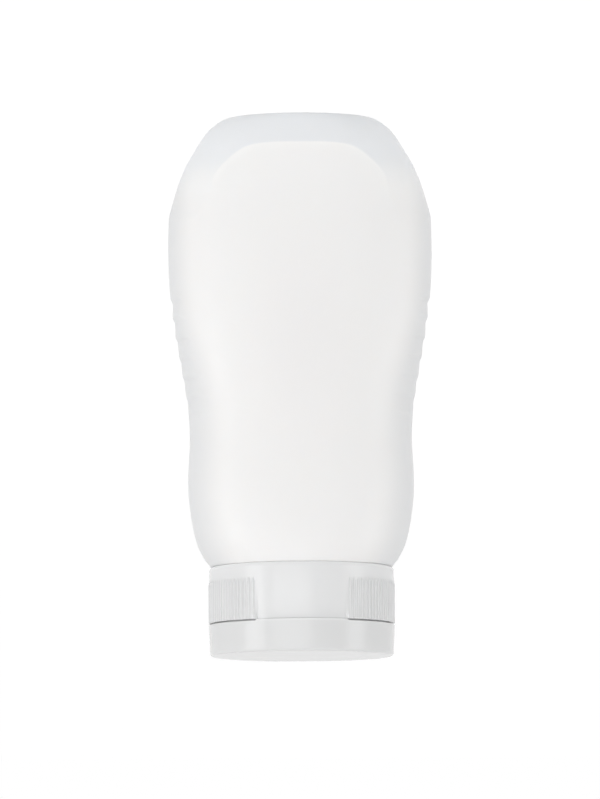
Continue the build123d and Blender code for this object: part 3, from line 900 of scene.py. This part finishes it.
settle(make_bottle(), polyethylene, "bottle", "bottle_shell")
settle(make_cap_shell(), polypropylene, "cap", "cap_body")
settle(make_ribs(polypropylene), polypropylene, "cap")
settle(make_lid(), polypropylene, "lid", "flip_lid")
for side, name in ((-1, "hinge_strap_left"), (1, "hinge_strap_right")):
    strap = settle(
        make_hinge_strap(name, side * STRAP_SPACING / 2), polypropylene, None
    )
    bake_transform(strap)
settle(
    merged_copy("slit_valve", "silicone_valve"),
    silicone, "cap", "slit_valve",
)
settle(
    make_ring("retainer_ring", RETAINER_CORNERS),
    polypropylene, "cap", "valve_retainer",
)
settle(make_ring("foam_liner", LINER_CORNERS), foam, "liner", "neck_liner")


# ======== floor, light and camera ========

def seen_share(nodes, link):
    """1 for what the camera sees directly, in gloss or through glass."""
    path = nodes.new("ShaderNodeLightPath").outputs
    seen = path["Is Camera Ray"]
    for kind in ("Is Glossy Ray", "Is Transmission Ray"):
        either = nodes.new("ShaderNodeMath")
        either.operation = "MAXIMUM"
        link(seen, either.inputs[0])
        link(path[kind], either.inputs[1])
        seen = either.outputs[0]
    return seen


def glowing_paper(nodes, link, shade, glow):
    """Matt paper that also gives some light of its own."""
    paper = nodes.new("ShaderNodeAddShader")
    matt = nodes.new("ShaderNodeBsdfDiffuse")
    matt.inputs["Color"].default_value = (shade, shade, shade, 1)
    light = nodes.new("ShaderNodeEmission")
    light.inputs["Strength"].default_value = glow
    link(matt.outputs[0], paper.inputs[0])
    link(light.outputs[0], paper.inputs[1])
    return paper.outputs[0]


def make_floor():
    """Paper floor that shows as white with a soft shadow, and lights the bottle evenly."""
    half = FLOOR_HALF_MM
    corners = [(-half, -half, 0), (half, -half, 0), (half, half, 0), (-half, half, 0)]
    floor = solid("floor", corners, [(0, 1, 2, 3)])
    material = bpy.data.materials.new("white paper floor")
    material.use_nodes = True
    nodes, link = material.node_tree.nodes, material.node_tree.links.new
    nodes.clear()
    either = nodes.new("ShaderNodeMixShader")
    link(seen_share(nodes, link), either.inputs[0])
    link(glowing_paper(nodes, link, PAPER_SHADE, PAPER_GLOW), either.inputs[1])
    link(glowing_paper(nodes, link, SEEN_SHADE, SEEN_GLOW), either.inputs[2])
    link(either.outputs[0], nodes.new("ShaderNodeOutputMaterial").inputs["Surface"])
    floor.data.materials.append(material)


def light_room(front, back):
    """Even white room, a little brighter on the camera's side, that shows as plain white."""
    world = bpy.data.worlds.new("studio")
    bpy.context.scene.world = world
    world.use_nodes = True
    nodes, link = world.node_tree.nodes, world.node_tree.links.new
    nodes.clear()
    sky = nodes.new("ShaderNodeBackground")
    way = nodes.new("ShaderNodeSeparateXYZ")
    link(nodes.new("ShaderNodeTexCoord").outputs["Generated"], way.inputs[0])
    level = nodes.new("ShaderNodeMapRange")
    link(way.outputs["Y"], level.inputs["Value"])
    for label, value in (("From Min", -1), ("From Max", 1), ("To Min", front), ("To Max", back)):
        level.inputs[label].default_value = value
    strength = nodes.new("ShaderNodeMapRange")
    link(seen_share(nodes, link), strength.inputs["Value"])
    link(level.outputs[0], strength.inputs["To Min"])
    strength.inputs["To Max"].default_value = 1.0
    link(strength.outputs[0], sky.inputs["Strength"])
    sky.inputs["Color"].default_value = (1, 1, 1, 1)
    link(sky.outputs[0], nodes.new("ShaderNodeOutputWorld").inputs["Surface"])


def soft_box(name, azimuth, elevation, distance, width, height, level):
    """Area light aimed at the bottle's middle; level is what a facing white surface gains."""
    a, e = radians(azimuth), radians(elevation)
    away = Vector((sin(a) * cos(e), -cos(a) * cos(e), sin(e)))
    data = bpy.data.lights.new(name, "AREA")
    data.shape = "RECTANGLE"
    data.size, data.size_y = width, height
    data.energy = level * pi ** 2 * distance ** 2
    box = placed(name, data)
    box.location = Vector(BOXES_AIM) + away * distance
    box.rotation_euler = away.to_track_quat("Z", "Y").to_euler()


def place_camera():
    """Long lens, a little above, turned over so that the cap is at the bottom of the picture."""
    data = bpy.data.cameras.new("camera")
    data.lens, data.sensor_width = CAMERA_LENS, CAMERA_SENSOR
    data.clip_start, data.clip_end = CAMERA_NEAR, CAMERA_FAR
    camera = placed("camera", data)
    spot = Vector(CAMERA_SPOT)
    forward = (Vector(CAMERA_AIM) - spot).normalized()
    level_side = Vector((-1, 0, 0))
    level_up = level_side.cross(forward).normalized()
    side = level_side * cos(CAMERA_LEAN) - level_up * sin(CAMERA_LEAN)
    up = level_up * cos(CAMERA_LEAN) + level_side * sin(CAMERA_LEAN)
    back = -forward
    camera.matrix_world = Matrix((
        (side.x, up.x, back.x, spot.x), (side.y, up.y, back.y, spot.y),
        (side.z, up.z, back.z, spot.z), (0, 0, 0, 1),
    ))
    bpy.context.scene.camera = camera


make_floor()
light_room(ROOM_FRONT, ROOM_BACK)
for box in SOFT_BOXES:
    soft_box(*box)
place_camera()
bpy.context.scene.view_settings.view_transform = "Standard"
